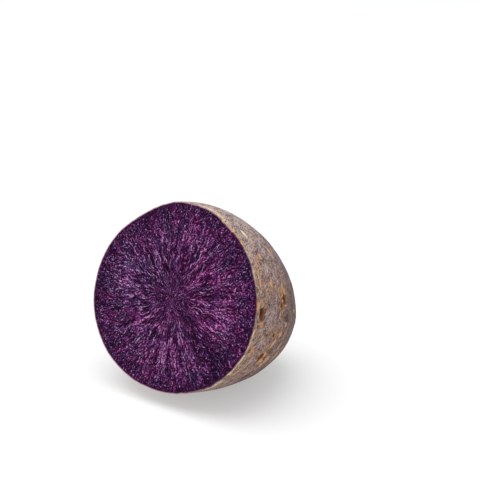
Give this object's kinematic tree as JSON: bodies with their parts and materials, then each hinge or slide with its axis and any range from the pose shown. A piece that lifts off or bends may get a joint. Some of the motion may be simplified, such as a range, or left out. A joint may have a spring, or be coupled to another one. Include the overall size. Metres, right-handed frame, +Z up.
{
  "type": "purple potato half",
  "caption": "Half of a long purple-fleshed potato, cut straight across and lying on its side: flat violet cut, grey-brown skin, shallow eyes, small flat spot to rest on.",
  "frame": {"origin": "middle of the underside of the bounding box, on the flat spot of the belly that the half rests on", "axes": "+Z up; the cut looks towards -Y and 17.5 degrees upwards, and the potato's own axis runs from the cut towards +Y, in the YZ plane; +X is to the right of someone who looks at the cut"},
  "size_m": [0.0636, 0.0534, 0.063],
  "materials": {
    "skin": "matte"
  },
  "bodies": {
    "root": {"potato_half": "skin"}
  },
  "joints": []
}
